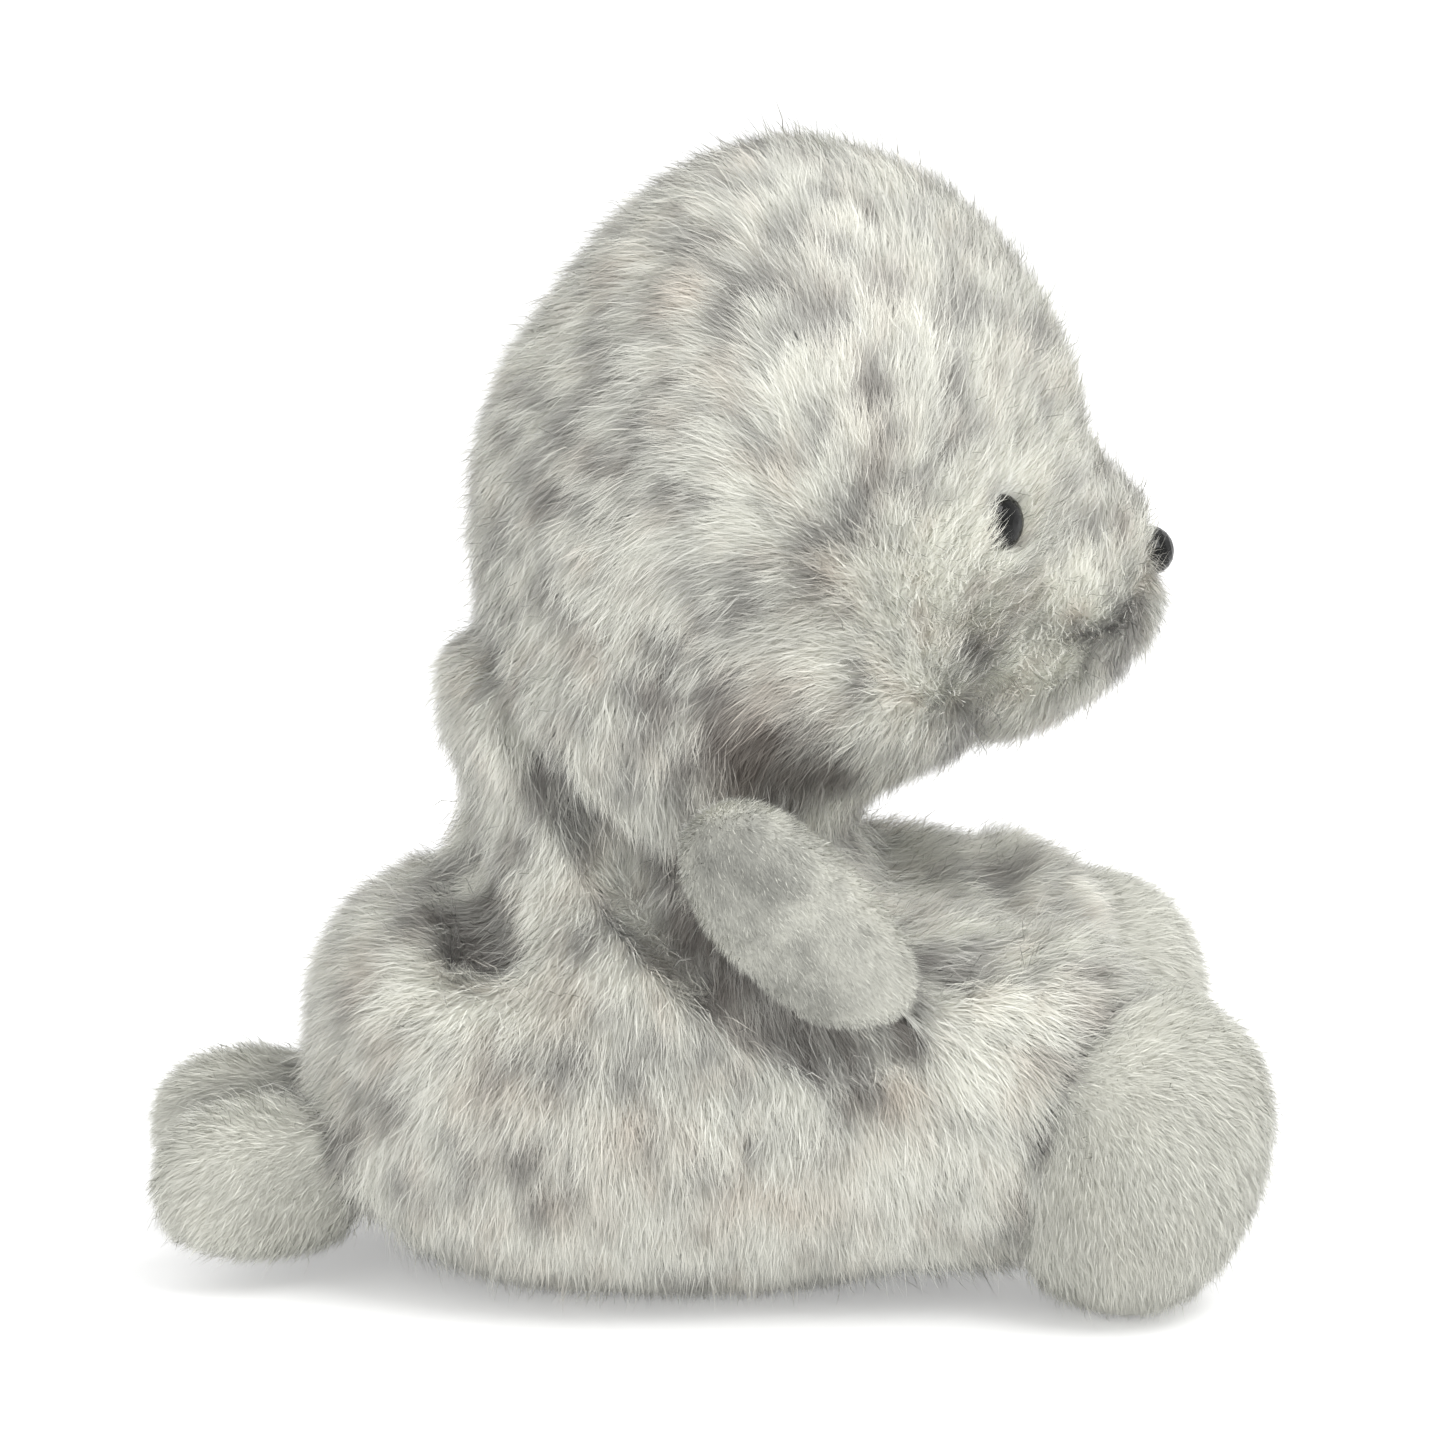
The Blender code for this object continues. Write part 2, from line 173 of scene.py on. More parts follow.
pileOf = {"head": longPile, "body": longPile, "flipper": flipperPile, "foot": footPile, "tail_lobe": footPile}
softNodes = ["head", "body", "flipper_right", "flipper_left", "foot_right", "foot_left",
             "tail_lobe_right", "tail_lobe_left"]


def kindOf(node):
    return node.removesuffix("_right").removesuffix("_left")


# Lie of the pile on the side that shows: pixel, then the way that the tips point (right, down)
layRows = {
    "head": [
        (620, 250, -1.0, 0.25), (700, 200, -0.9, -0.1), (560, 330, -0.7, 0.7), (640, 330, -1.0, 0.35),
        (730, 300, -1.0, 0.1), (720, 400, -1.0, 0.1), (500, 430, -0.5, 0.9), (580, 450, -0.8, 0.6),
        (660, 430, -1.0, 0.3), (500, 560, -0.25, 1.0), (590, 560, -0.6, 0.8), (670, 540, -0.9, 0.5),
        (560, 680, -0.1, 1.0), (640, 680, 0, 1.0), (600, 780, 0.25, 1.0), (680, 780, 0.1, 1.0),
        (690, 620, -0.5, 0.9), (800, 160, -0.15, -1.0), (860, 220, -0.2, -1.0), (930, 230, -0.2, -1.0),
        (1000, 290, -0.2, -1.0), (1050, 370, -0.05, -1.0), (1075, 430, 0.1, -1.0), (800, 260, -0.3, -1.0),
        (780, 350, -0.35, -1.0), (840, 330, -0.25, -1.0), (930, 340, -0.2, -1.0), (1010, 380, -0.1, -1.0),
        (770, 460, -0.5, -1.0), (870, 450, -0.2, -1.0), (960, 430, -0.1, -1.0), (770, 550, -0.9, -0.5),
        (770, 610, -1.0, 0), (770, 665, -1.0, 0.4), (870, 550, -0.4, -0.9), (870, 620, -0.6, -0.8),
        (870, 675, -0.9, -0.4), (950, 550, -0.3, -0.9), (950, 620, -0.4, -0.9), (950, 680, -0.7, -0.7),
        (990, 490, -0.2, -1.0), (1000, 580, -0.4, -0.9), (1020, 640, -0.45, -0.9), (1020, 690, -0.6, -0.8),
        (1050, 490, -0.4, -0.9), (1055, 560, -0.4, -0.9), (1080, 610, -0.45, -0.9), (1085, 660, -0.5, -0.85),
        (1110, 490, -0.4, -0.9), (1110, 540, -0.5, -0.85), (1120, 590, -0.5, -0.85), (1130, 640, -0.5, -0.8),
        (1158, 600, 0.1, 1.0), (1146, 650, 0.1, 1.0), (1112, 695, 0.1, 1.0), (1050, 725, 0, 1.0),
        (985, 738, -0.1, 1.0), (920, 762, -0.2, 1.0), (800, 700, -0.9, 0.5), (800, 765, -0.5, 0.9),
        (865, 785, -0.2, 1.0), (870, 730, -0.9, 0.3),
    ],
    "body": [
        (460, 700, -0.4, 0.9), (520, 760, 0.1, 1.0), (560, 860, 0.2, 1.0), (480, 850, -0.1, 1.0),
        (620, 940, 0.2, 1.0), (540, 950, -0.1, 1.0), (440, 900, -0.9, 0.3), (370, 910, -1.0, 0.1),
        (330, 990, -0.7, 0.7), (420, 990, -0.8, 0.7), (330, 1090, -0.3, 1.0), (420, 1090, -0.4, 1.0),
        (520, 1040, -0.3, 1.0), (620, 1030, 0.1, 1.0), (360, 1190, -0.1, 1.0), (480, 1180, -0.1, 1.0),
        (600, 1130, 0, 1.0), (720, 1080, 0.2, 1.0), (700, 1180, 0, 1.0), (820, 1110, 0.15, 1.0),
        (820, 1200, 0, 1.0), (930, 1090, 0.4, 1.0), (930, 1190, 0.3, 1.0), (990, 1150, 0.2, 1.0),
        (700, 1270, 0, 1.0), (500, 1265, -0.2, 1.0), (880, 1270, 0.2, 1.0), (1010, 1020, 0.7, 0.7),
        (960, 950, 0.8, 0.5), (1050, 940, 1.0, 0.2), (1000, 880, 1.0, 0.1), (920, 850, 0.9, 0.3),
        (1080, 900, 1.0, -0.1), (1060, 1000, 0.7, 0.6),
    ],
    "flipper": [(720, 850, 0.4, 1.0), (800, 900, 0.6, 0.8), (870, 1000, 0.6, 0.7), (780, 830, 0.6, 0.6)],
    "foot": [
        (1080, 1040, 0.7, -0.2), (1150, 1050, 0.8, 0.2), (1220, 1100, 0.6, 0.8), (1060, 1150, 0.3, 1.0),
        (1150, 1180, 0.5, 1.0), (1230, 1200, 0.2, 1.0), (1100, 1270, 0.1, 1.0),
    ],
    "tail_lobe": [
        (300, 1120, -1.0, 0.1), (230, 1130, -1.0, 0.3), (180, 1180, -0.6, 0.9), (270, 1200, -0.8, 0.6),
        (220, 1240, -0.6, 0.8),
    ],
}
# Points in mm and ways in space, for what that view can't show
spaceRows = {
    "head": [
        ((0, -20, 128), (0, 0.3, 0.2)), ((0, 10, 127), (0, 1, 0)), ((0, 30, 100), (0, 0.3, -1)),
        ((0, 32, 70), (0, 0, -1)), ((0, -45, 100), (0, -0.2, 1)), ((0, -40, 115), (0, 0.1, 1)),
        ((12, -42, 100), (0.3, 0, 1)), ((-12, -42, 100), (-0.3, 0, 1)), ((0, -50, 90), (0, -0.3, 1)),
        ((0, -55, 72), (0, -0.2, -1)), ((0, -48, 62), (0, 0.3, -1)), ((0, -30, 50), (0, 0.5, -1)),
    ],
    "body": [
        ((0, 35, 62), (0, 0.5, -1)), ((0, 46, 40), (0, 0.3, -1)), ((0, 46, 15), (0, 0, -1)),
        ((0, -22, 55), (0, 0, -1)), ((0, -25, 35), (0, -0.6, -0.6)), ((10, -45, 30), (0, -1, 0.2)),
        ((0, -30, 12), (0, -0.5, -1)), ((30, -40, 15), (0, -0.3, -1)), ((0, 0, 1), (0, -1, 0)),
    ],
}
layReach = {"head": 6, "body": 8, "flipper": 7, "foot": 7, "tail_lobe": 7}  # mm

# Soft spots on the side that shows: pixel, radius in mm, and how light (+) or dark (-). Most are blotches of
# the dye; the dark ones in shaded places are painted shade
spotScale = {"radius": 0.8, "strength": 0.8, "farShift": (0, 5, -4)}  # the shift in mm
toneAndShadeSpots = {
    "head": [
        (744, 511, 5, 0.8), (857, 228, 5, 0.3), (918, 342, 6, 0.4), (1010, 412, 6, 0.6), (945, 590, 7, 1.9),
        (1078, 601, 5, 1.4), (1038, 690, 5.5, 2.2), (744, 304, 6, -0.5), (550, 406, 6, -0.6),
        (550, 470, 5, -0.7), (623, 422, 5, -0.8), (700, 486, 4, -0.9), (974, 451, 4, -0.8),
        (1062, 540, 4, -0.35), (1145, 622, 5, -0.7), (1080, 560, 5, -0.3), (900, 470, 5, -0.3),
        # Painted shade under the jaw: (994, 729), (744, 755), (810, 772) and (850, 780)
        (994, 729, 5, -1.1), (1122, 640, 4, -0.6), (744, 755, 8, -1.35), (810, 772, 7, -1.2),
        (783, 618, 6, -0.7), (706, 685, 6, -0.9),
        (480, 640, 5, -0.5), (467, 710, 5, -0.8), (820, 650, 6, 0.9), (860, 540, 5, -0.3),
        (640, 250, 7, 0.5), (880, 400, 4, -0.6), (800, 400, 5, 0.4), (900, 500, 5, -0.5),
        (640, 560, 6, 0.5), (590, 620, 5, 0.5), (915, 725, 5.5, 1.2), (1010, 595, 5, 0.6),
        (1060, 350, 5, -0.3), (560, 300, 6, 0.4), (700, 380, 5, 0.4), (760, 690, 4, 0.3),
        (850, 780, 6, -1.2), (1100, 500, 5, -0.2), (1060, 730, 4, -0.6), (580, 740, 5, 0.5),
    ],
    "body": [
        (496, 742, 5, 1.1), (566, 860, 5, 1.0), (598, 1105, 6, 0.9), (633, 976, 5, 1.0),
        (951, 1056, 6, 1.0), (759, 1232, 7, 0.8), (926, 897, 6, 1.0), (1012, 994, 5, 0.8),
        # Painted shade under the arm: (687, 930), (730, 985) and (799, 1039); painted shadow of the torso on
        # the rump: (428, 868), (452, 890) and (474, 918)
        (508, 838, 4, -0.9), (578, 911, 5, -0.9), (687, 930, 6, -1.8), (336, 1112, 5, -0.8),
        (385, 1085, 4, -0.7), (561, 1046, 5, -0.8), (511, 1158, 5, -0.8), (418, 1188, 5, -0.6),
        (640, 1066, 5, -0.8), (799, 1039, 4, -1.0), (849, 1089, 5, -0.8), (1002, 866, 5, -0.5),
        (452, 890, 4.5, -1.9), (428, 868, 4, -1.1), (474, 918, 3.5, -1.8), (525, 960, 6, 0.9),
        (400, 975, 7, 0.7), (340, 1020, 5, -0.3), (530, 880, 5, 0.7), (440, 980, 5, 0.6),
        (470, 1010, 5, 0.6), (460, 1230, 6, 0.7), (620, 1230, 6, 0.7), (700, 1130, 5, 0.6),
        (900, 1230, 6, 0.6), (880, 1150, 5, 0.6), (960, 930, 4, -0.6), (1080, 950, 5, -0.4),
        (1090, 880, 4, 0.4), (990, 1100, 5, 0.7), (720, 1020, 4, -0.5), (730, 985, 3, -1.1),
        (660, 920, 4, -0.8),
        (905, 1035, 3, -1.6), (930, 940, 3.5, -0.7), (840, 1180, 6, 0.5), (560, 1250, 6, 0.4),
    ],
    "flipper": [
        # The dark spots are painted shade where the head shades the flipper's top
        (760, 880, 10, -1.0), (700, 850, 6, -0.6), (820, 990, 9, -0.8), (890, 960, 6, -0.4),
        (815, 915, 2.5, 0.5), (835, 950, 2.5, 0.6), (850, 990, 2.5, 0.5), (885, 1030, 5, 0.3),
    ],
    "foot": [
        (1240, 1200, 8, 0.3), (1120, 1280, 6, 0.4), (1060, 1030, 5, -0.4), (1035, 1130, 4, -0.5),
        (1030, 1220, 4, -0.4), (1180, 1060, 5, -0.2), (1205, 1060, 3, 0.4), (1160, 940, 8, 0.4),
    ],
    "tail_lobe": [
        # Painted shade at the join with the body (320, 1075) and in the notch between the lobes (180, 1120)
        (320, 1075, 4, -0.9), (180, 1120, 3.5, -0.9), (220, 1055, 4, 0.4), (240, 1120, 4, 0.4),
        (200, 1160, 6, 0.3), (220, 1235, 5, 0.5), (300, 1180, 4, -0.5),
    ],
}
warmSpots = [
    (687, 279, 5, 1), (617, 260, 5, 0.7), (488, 1079, 5, 1), (561, 986, 5, 0.8), (558, 1195, 5, 0.8),
    (630, 1132, 5, 1), (726, 1195, 5, 0.8), (825, 1199, 5, 0.8), (899, 1090, 5, 0.8), (744, 745, 7, 1.2),
    (1000, 650, 4, 0.7), (880, 420, 5, 0.5), (900, 300, 5, 0.5), (790, 700, 6, 0.8), (690, 940, 6, 0.8),
    (840, 600, 5, 0.5), (1090, 990, 4, 0.6), (360, 960, 5, 0.5), (1030, 740, 4, 0.6),
]
warmRows = {"head": warmSpots, "body": warmSpots}
# How light each kind of piece is as a whole; the flippers' lower value is painted shade from the head above
# them
toneBase = {"head": 0, "body": 0.2, "flipper": -0.1, "foot": 0, "tail_lobe": 0.1}
# Along the sewn joins the pile lies deeper (mm) and gets painted shade (tone), over a reach in mm
seam = {"tone": -0.9, "reach": 2.4, "depth": 1.4, "evenPasses": 6}

# Creases: their pixels, half width in mm, depth in mm, and how much painted shade darkens them
neckCreases = [
    ([(498, 722), (560, 805), (612, 862), (665, 930), (700, 970)], 1.9, 4.2, -2.2),
    ([(695, 965), (730, 1000), (775, 1030), (830, 1052), (895, 1045)], 1.9, 2.0, -1.3),
]
creaseRows = {
    "head": neckCreases + [
        ([(985, 655), (992, 700), (992, 740)], 2.2, 0.9, -0.5),
        ([(1085, 662), (1110, 664), (1145, 660)], 1.8, 0.9, -0.2),
    ],
    "body": neckCreases + [
        ([(452, 850), (466, 880), (480, 915), (488, 940)], 2.8, 3.3, -1.5),
        ([(905, 945), (950, 955), (1000, 935), (1045, 895)], 3.6, 1.7, -0.3),
    ],
    # The tail's crease gets painted shade on the inner sides of both lobes, which darkens the far lobe above
    # the near one
    "tail_lobe": [("middle", 5.5, 1.2, -1.7)],  # between the two lobes
}
# Where the stuffing swells the fabric: pixel, radius in mm and height in mm
plumpRows = {
    "head": [(1008, 606, 6, 1.0), (1078, 602, 5, 0.9), (1040, 695, 5, 1.6), (930, 700, 7, 0.7),
             (985, 690, 5, 0.7), (1120, 500, 4, 0.5)],
    "body": [(560, 800, 5, 0.8), (540, 900, 6, 0.8), (1040, 900, 6, 0.8), (950, 880, 6, 0.6)],
}


def cleanShape(node):
    shape = bmesh.new()
    shape.from_mesh(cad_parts[node].data)
    bmesh.ops.remove_doubles(shape, verts=shape.verts, dist=0.01 * mm)
    return shape


def solidTree(node):
    shape = cleanShape(node)
    tree = BVHTree.FromBMesh(shape)
    shape.free()
    return tree


solidTrees = {node: solidTree(node) for node in softNodes}


def buttonFrame(node):
    # The top of a button's dome and the way that it faces, from its solid
    points = np.array([v.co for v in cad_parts[node].data.vertices])
    middle = points.mean(axis=0)
    _, axes = np.linalg.eigh(np.cov((points - middle).T))
    outward = unit(middle - np.array((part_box("head")[0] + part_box("head")[1]) / 2))
    axis = max(axes.T, key=lambda a: abs(a @ outward))
    axis = axis * np.sign(axis @ outward)
    return middle + axis * ((points - middle) @ axis).max(), axis


# Buttons in mm: how far a fibre keeps from the middle, and how the fabric closes the well under each
buttonLook = {"eye": {"clear": 3.1, "rise": 0.8}, "nose": {"clear": 2.9, "rise": -1.6}}
wellRadius = 8 * mm
buttons = {node: (*buttonFrame(node), buttonLook[kindOf(node)]) for node in ("eye_right", "eye_left", "nose")}


peltForm = {"voxel": 1.4, "smoothPasses": 6}  # the voxel in mm


def makePelt():
    # The outer form of all the stuffed pieces together, with the wells of the buttons closed
    mesh = bpy.data.meshes.new("form")
    together = bmesh.new()
    for node in softNodes:
        cleanShape(node).to_mesh(mesh)
        together.from_mesh(mesh)
    for top, axis, look in buttons.values():
        ball = bmesh.ops.create_icosphere(together, subdivisions=3, radius=wellRadius)
        centre = Vector(top + axis * (look["rise"] * mm - wellRadius))
        bmesh.ops.translate(together, verts=ball["verts"], vec=centre)
    together.to_mesh(mesh)
    together.free()
    form = linked(bpy.data.objects.new("form", mesh))
    remesh = form.modifiers.new("remesh", "REMESH")
    remesh.mode = "VOXEL"
    remesh.voxel_size = peltForm["voxel"] * mm
    smooth = form.modifiers.new("smooth", "SMOOTH")
    smooth.factor = 0.5
    smooth.iterations = peltForm["smoothPasses"]
    result = bpy.data.meshes.new_from_object(form.evaluated_get(bpy.context.evaluated_depsgraph_get()))
    bpy.data.objects.remove(form)
    return result


def meshArrays(mesh):
    count = len(mesh.vertices)
    points, normals = np.empty(count * 3), np.empty(count * 3)
    mesh.vertices.foreach_get("co", points)
    mesh.vertices.foreach_get("normal", normals)
    return points.reshape(-1, 3), unit(normals.reshape(-1, 3))


def moveTo(mesh, points):
    mesh.vertices.foreach_set("co", points.astype(np.float32).ravel())
    mesh.update()


# One outer form of the whole plush, which all rows of pixels are laid out on
pelt = makePelt()
peltTree = BVHTree.FromPolygons([v.co for v in pelt.vertices], [p.vertices[:] for p in pelt.polygons])


def landed(px, py):
    # Where a pixel's ray meets the plush, or the point nearest the ray
    start, ray = sightLine(px, py)
    place = peltTree.ray_cast(start, ray)[0]
    if place is None:
        place = peltTree.find_nearest(start + ray * view["distance"])[0]
    return np.array(place)


def layField(kind, points, normals):
    # Blends the combed ways over a form: near rows count most, and both sides are alike
    places, ways = [], []
    for px, py, right, down in layRows[kind]:
        place = landed(px, py)
        way = np.array(screenRight * right - screenUp * down)
        places += [place, place * mirror]
        ways += [way, way * mirror]
    for place, way in spaceRows.get(kind, []):
        places.append(np.array(peltTree.find_nearest(Vector(place) * mm)[0]))
        ways.append(np.array(way, float))
    places, ways = np.array(places), unit(np.array(ways))
    reach = layReach[kind] * mm
    gap = ((points[:, None, :] - places[None]) ** 2).sum(axis=2)
    # The second term lets the nearest rows still count where all of them are far away
    share = np.exp(-gap / (2 * reach * reach)) + 1e-9 / (gap / mm ** 2 + 1)
    field = share @ ways
    return unit(field - normals * (field * normals).sum(axis=1, keepdims=True))


def spotField(rows, points):
    # Sum of soft spots. The far side gets them moved a little, so that it is no mirror image
    total = np.zeros(len(points))
    for px, py, radius, strength in rows:
        reach = radius * spotScale["radius"] * mm
        place = landed(px, py)
        other = place * mirror + np.array(spotScale["farShift"]) * mm * math.copysign(1, strength)
        for middle in (place, other):
            gap = ((points - middle) ** 2).sum(axis=1)
            total += strength * spotScale["strength"] * np.exp(-gap / reach ** 2)
    return total


def creaseFields(kind, points):
    # How much deeper the creases make each point, less what the stuffing swells it, and how much painted
    # crease shade darkens it
    depth, tone, rise = (np.zeros(len(points)) for _ in range(3))
    for px, py, radius, height in plumpRows.get(kind, []):
        for middle in (landed(px, py), landed(px, py) * mirror):
            gap = ((points - middle) ** 2).sum(axis=1)
            rise += height * mm * np.exp(-gap / (radius * mm) ** 2)
    for pixels, width, deep, paintedShade in creaseRows.get(kind, []):
        across = pixels == "middle"
        best = points[:, 0] ** 2 if across else np.full(len(points), np.inf)
        line = [] if across else [landed(px, py) for px, py in pixels]
        for flip in (np.ones(3), mirror):
            for a, b in zip(line, line[1:]):
                a, b = a * flip, b * flip
                along = np.clip(((points - a) @ (b - a)) / ((b - a) @ (b - a)), 0, 1)
                best = np.minimum(best, ((points - a - along[:, None] * (b - a)) ** 2).sum(axis=1))
        near = np.exp(-best / (width * mm) ** 2)
        depth, tone = np.maximum(depth, deep * mm * near), np.minimum(tone, paintedShade * near)
    return depth - rise, tone


def solidGaps(points):
    # For each point, the nearest stuffed piece and how far the next one lies, up to a limit
    far = 6 * mm
    gaps = np.full((len(softNodes), len(points)), far)
    for row, node in enumerate(softNodes):
        low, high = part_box(node)
        near = np.all((points > np.array(low) - far) & (points < np.array(high) + far), axis=1)
        for k in np.flatnonzero(near):
            gaps[row, k] = min(far, solidTrees[node].find_nearest(Vector(points[k]))[3])
    return gaps.argmin(axis=0), np.sort(gaps, axis=0)[1]


# How the pile is cut: what is left or cut off as shares of its length, and where in mm
trim = {
    "buttonLeft": 0.5,
    "buttonReach": (3, 9),
    "muzzleCut": 0.3,
    "muzzleFront": (36, 46),
    "jawCut": 0.3,
    "jawFront": (0, 14),
    "jawHeight": (66, 52),
    "floorLeft": 0.2,
    "floorHeight": (0.5, 4),
    "least": 0.3,
}
# The sockets under the buttons, in mm
socket = {"depth": 1.7, "edge": (4.6, 3.0), "reach": 7}


def faceTrim(points):
    # The pile is trimmed around the buttons, on the muzzle and under the jaw
    short, left = np.ones(len(points)), trim["buttonLeft"]
    for top, axis, look in buttons.values():
        gap = np.linalg.norm(points - top, axis=1)
        short = np.minimum(short, left + (1 - left) * fade(trim["buttonReach"], gap))
    muzzle = fade(trim["muzzleFront"], -points[:, 1])
    jaw = fade(trim["jawFront"], -points[:, 1]) * fade(trim["jawHeight"], points[:, 2])
    return np.minimum(short, 1 - trim["muzzleCut"] * muzzle) * (1 - trim["jawCut"] * jaw)


def aroundAxis(points, top, axis):
    # Height over a button's top, and the way and distance from its axis
    offset = points - top
    height = offset @ axis
    flat = offset - height[:, None] * axis
    return height, flat, np.linalg.norm(flat, axis=1)


def besideButton(points, top):
    return np.linalg.norm(points - top, axis=1) < socket["reach"] * mm


def socketField(points):
    # How much deeper the fabric lies under each button
    depth = np.zeros(len(points))
    for top, axis, look in buttons.values():
        far = aroundAxis(points, top, axis)[2]
        depth += besideButton(points, top) * socket["depth"] * mm * fade(socket["edge"], far)
    return depth


def settle(kind, points, gap):
    # How the fabric lies: its depth, how long the pile is grown, and its tone, from dye blotches and painted
    # shade
    left = trim["floorLeft"]
    grown = left + (1 - left) * fade(trim["floorHeight"], points[:, 2])
    if kind == "head":
        grown = grown * faceTrim(points)
    joined = 1 - fade((0, seam["reach"]), gap)
    depth = pileOf[kind]["sink"] * mm * grown + seam["depth"] * mm * joined
    if kind == "head":
        depth += socketField(points)
    # The tone holds dye blotches and painted shade: dark spots in shaded places, along the seams and in the
    # creases
    tone = toneBase[kind] + spotField(toneAndShadeSpots[kind], points) + seam["tone"] * joined
    tone += creaseFields(kind, points)[1]
    return {"depth": depth, "grown": trim["least"] + (1 - trim["least"]) * grown, "tone": tone,
            "warmth": spotField(warmRows.get(kind, []), points)}


def setAttribute(mesh, name, kind, values):
    attribute = mesh.attributes.new(name, kind, "POINT")
    key = "vector" if kind == "FLOAT_VECTOR" else "value"
    attribute.data.foreach_set(key, values.astype(np.float32).ravel())


skinShade = 0.3  # a little darker than most fibres


def makeSkin(node, material):
    # The fabric under the pile: this piece's share of the pelt, pulled in by the pile's depth and closed
    # inside, where it is sewn to its neighbours
    shape = bmesh.new()
    shape.from_mesh(pelt)
    source = shape.verts.layers.int.new("source")
    for k, vertex in enumerate(shape.verts):
        vertex[source] = k
    own = softNodes.index(node)
    others = [face for face, owner in zip(shape.faces, fur["faceOwner"]) if owner != own]
    bmesh.ops.delete(shape, geom=others, context="FACES")
    edges = [edge for edge in shape.edges if edge.is_boundary]
    caps = bmesh.ops.holes_fill(shape, edges=edges, sides=0)["faces"]
    bmesh.ops.triangulate(shape, faces=caps)
    bmesh.ops.recalc_face_normals(shape, faces=shape.faces)
    rows = np.array([vertex[source] for vertex in shape.verts])
    mesh = bpy.data.meshes.new(node + "_skin")
    shape.to_mesh(mesh)
    shape.free()
    setAttribute(mesh, "rootPlace", "FLOAT_VECTOR", fur["outer"][rows])
    setAttribute(mesh, "tone", "FLOAT", fur["tone"][rows])
    setAttribute(mesh, "warmth", "FLOAT", fur["warmth"][rows])
    setAttribute(mesh, "shade", "FLOAT", np.full(len(rows), skinShade))
    # The skin lies at the roots, so it gets the full painted root shade
    setAttribute(mesh, "along", "FLOAT", np.zeros(len(rows)))
    moveTo(mesh, fur["roots"][rows])
    mesh.shade_smooth()
    mesh.materials.append(material)
    skin = linked(bpy.data.objects.new(mesh.name, mesh))
    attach(skin, "root")
    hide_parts(node)
    mesh.calc_loop_triangles()
    report("skin", node, len(mesh.loop_triangles), "triangles,", len(edges), "sewn edges")


# Shades of single fibres, from 0, dark, to 1, light, and beyond for the few that stand out: painted glints
# and the painted shade of gaps between fibres
shades = {"under": 0.5, "underSpread": 0.1, "guard": 0.6, "paintedGlint": 2.6, "paintedGlintShare": 0.3,
          "paintedShade": -0.8, "paintedShadeShare": 0.1}


def fibreShade(kind, pile, count):
    # The fine fibres are nearly alike. Of the guard fibres some get a painted glint and a few the painted
    # shade of the gaps between fibres
    if kind == "under":
        return dice.normal(shades["under"], shades["underSpread"], count)
    shade = dice.normal(shades["guard"], pile["glint"], count)
    odd = dice.random(count)
    shade[odd < shades["paintedGlintShare"]] = shades["paintedGlint"]
    shade[odd > 1 - shades["paintedShadeShare"]] = shades["paintedShade"]
    return shade


def evenOwners(owner):
    # Smooths the borders between the pieces' shares of the pelt
    edges = np.empty(len(pelt.edges) * 2, np.int32)
    pelt.edges.foreach_get("vertices", edges)
    a, b = edges.reshape(-1, 2).T
    vote = np.eye(len(softNodes))[owner]
    for _ in range(seam["evenPasses"]):
        total = vote.copy()
        np.add.at(total, a, vote[b])
        np.add.at(total, b, vote[a])
        vote = total / total.sum(axis=1, keepdims=True)
    return vote.argmax(axis=1)


# How single fibres (turn, raised, length) and tufts differ, in radians and as shares of their length
strands = {
    "turn": 0.25, "raised": 0.14, "length": 0.16, "lengthRange": (0.45, 1.5),
    "tuftTurn": 0.1, "tuftRaised": 0.06, "tuftLength": 0.06,
    "strayShare": 0.15, "strayRaised": 0.4, "strayLength": 1.25,
    "sewnIn": 0.15,  # mm
    "underLength": 0.9,
    "rootWidth": 0.8, "widthRange": (0.7, 1.3), "roll": 0.8,
    "curl": 0.12, "droop": 0.1,  # how far the shading leans across and along a fibre
}
# The space over a button that fibres keep out of: from and to which height over its top in mm, the share
# that is left of a fibre's last part where it would cross, and how far fibres stay above the floor in mm
cleared = {"height": (-3.5, 6), "left": 0.3, "floor": 0.2}
# Where the plush rests on the floor: below this height in mm, facing down, with few strands
resting = {"height": 2, "facing": -0.8, "share": 0.12}


